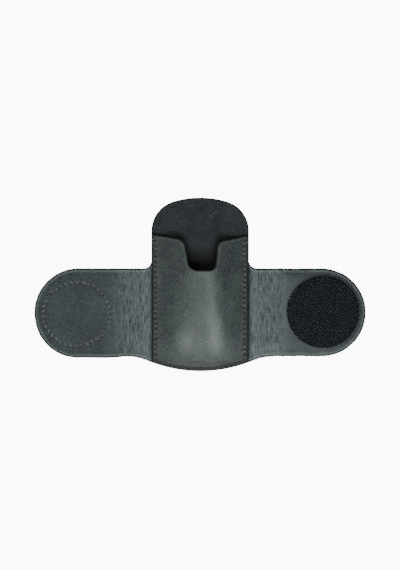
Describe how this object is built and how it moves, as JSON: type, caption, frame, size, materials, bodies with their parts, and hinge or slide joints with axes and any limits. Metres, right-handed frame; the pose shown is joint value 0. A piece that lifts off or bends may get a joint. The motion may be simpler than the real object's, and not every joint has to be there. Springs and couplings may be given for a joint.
{
  "type": "wrap-around leather hand grip with pocket",
  "caption": "Leather hand grip: cross-shaped panel with a moulded, sewn pocket and thumb notch, a flexing tongue above it, and two wings that wrap behind and close with hook and loop patches.",
  "frame": {"origin": "under the middle of the laid-out outline, on the surface that the grip lies on", "axes": "+X to the hook wing, -X to the loop wing, +Y up the pocket to the tongue, +Z out of the pocket's front"},
  "size_m": [0.2149, 0.1128, 0.0139],
  "materials": {
    "panel_leather": "worn matt black leather",
    "pocket_leather": "moulded black leather, burnished on the bulge",
    "thread": "waxed grey thread",
    "black_thread": "waxed black thread",
    "patch_tape": "woven black nylon tape",
    "hooks": "black nylon hooks",
    "loops": "black nylon loop pile"
  },
  "bodies": {
    "pocket": {"back_panel": "panel_leather", "pocket_front": "pocket_leather", "pocket_seam_needle_thread": "thread", "pocket_seam_bobbin_thread": "thread"},
    "tongue": {"top_tab": "panel_leather"},
    "left_strip_1": {"left_fold_strip_1": "panel_leather"},
    "left_strip_2": {"left_fold_strip_2": "panel_leather"},
    "left_wing": {"left_wing": "panel_leather", "loop_patch_tape": "patch_tape", "loop_field": "loops", "loop_ring_needle_thread": "thread", "loop_ring_bobbin_thread": "thread"},
    "right_strip_1": {"right_fold_strip_1": "panel_leather"},
    "right_strip_2": {"right_fold_strip_2": "panel_leather"},
    "right_wing": {"right_wing": "panel_leather", "hook_patch_tape": "patch_tape", "hook_field": "hooks", "hook_ring_needle_thread": "black_thread", "hook_ring_bobbin_thread": "black_thread"}
  },
  "joints": [
    {"name": "tongue_flex", "type": "hinge", "parent": "pocket", "child": "tongue", "pos_m": [0, 0.035, 0.0012], "axis": [1, 0, 0], "range_deg": [-30, 45], "stiffness_Nm_per_rad": 0.1},
    {"name": "left_wrap", "type": "hinge", "parent": "pocket", "child": "left_strip_1", "pos_m": [-0.0334, -0.01815, 0.0012], "axis": [0, -1, 0], "range_deg": [-6, 60], "stiffness_Nm_per_rad": 0.1},
    {"name": "left_wrap_2", "type": "hinge", "parent": "left_strip_1", "child": "left_strip_2", "pos_m": [-0.04395, -0.01815, 0.00225], "axis": [0, -1, 0], "range_deg": [-6, 60], "stiffness_Nm_per_rad": 0.1},
    {"name": "left_wrap_3", "type": "hinge", "parent": "left_strip_2", "child": "left_wing", "pos_m": [-0.0545, -0.01815, 0.0033], "axis": [0, -1, 0], "range_deg": [-6, 60], "stiffness_Nm_per_rad": 0.1},
    {"name": "right_wrap", "type": "hinge", "parent": "pocket", "child": "right_strip_1", "pos_m": [0.0334, -0.01815, 0.0012], "axis": [0, 1, 0], "range_deg": [-6, 60], "stiffness_Nm_per_rad": 0.1},
    {"name": "right_wrap_2", "type": "hinge", "parent": "right_strip_1", "child": "right_strip_2", "pos_m": [0.0401, -0.01815, 0.0012], "axis": [0, 1, 0], "range_deg": [-6, 60], "stiffness_Nm_per_rad": 0.1},
    {"name": "right_wrap_3", "type": "hinge", "parent": "right_strip_2", "child": "right_wing", "pos_m": [0.0468, -0.01815, 0.0012], "axis": [0, 1, 0], "range_deg": [-6, 60], "stiffness_Nm_per_rad": 0.1}
  ],
  "couplings": [
    {"joint": "left_wrap_2", "follows": "left_wrap", "ratio": 1},
    {"joint": "left_wrap_3", "follows": "left_wrap", "ratio": 1},
    {"joint": "right_wrap_2", "follows": "right_wrap", "ratio": 1},
    {"joint": "right_wrap_3", "follows": "right_wrap", "ratio": 1}
  ]
}
